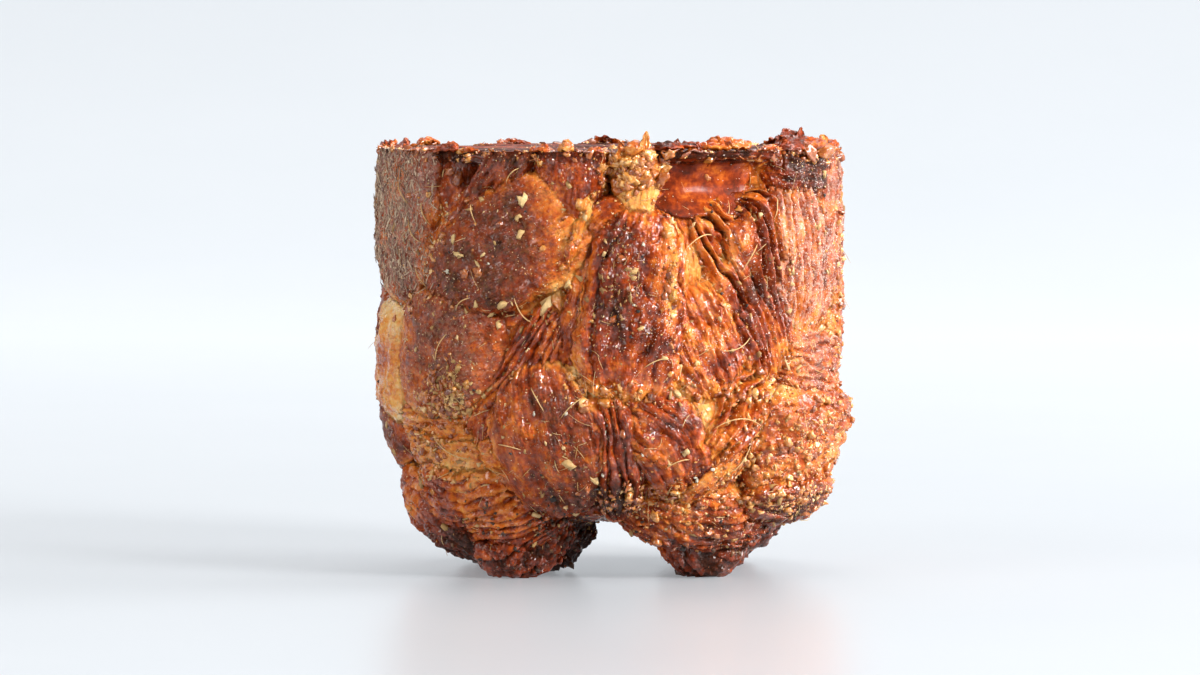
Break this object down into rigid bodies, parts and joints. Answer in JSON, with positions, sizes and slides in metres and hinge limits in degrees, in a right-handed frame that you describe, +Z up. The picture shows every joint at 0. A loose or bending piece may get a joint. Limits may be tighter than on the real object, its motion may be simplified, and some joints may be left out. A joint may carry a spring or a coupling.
{
  "type": "cardamom bun",
  "caption": "Cardamom bun of knotted layered dough, baked in a straight-sided tin and turned out upside down, flat on top and standing on the knot's ends.",
  "frame": {"origin": "on the surface that the bun stands on, under the middle of its bounding box", "axes": "+Z up, towards the flat top; -Y is the front that the picture shows; +X is the picture's right"},
  "size_m": [0.0809, 0.081, 0.0732],
  "materials": {
    "crust": "baked layered dough with a sticky sugar glaze, brown to amber, with pale creases and crushed cardamom"
  },
  "bodies": {
    "root": {"bun": "crust"}
  },
  "joints": []
}
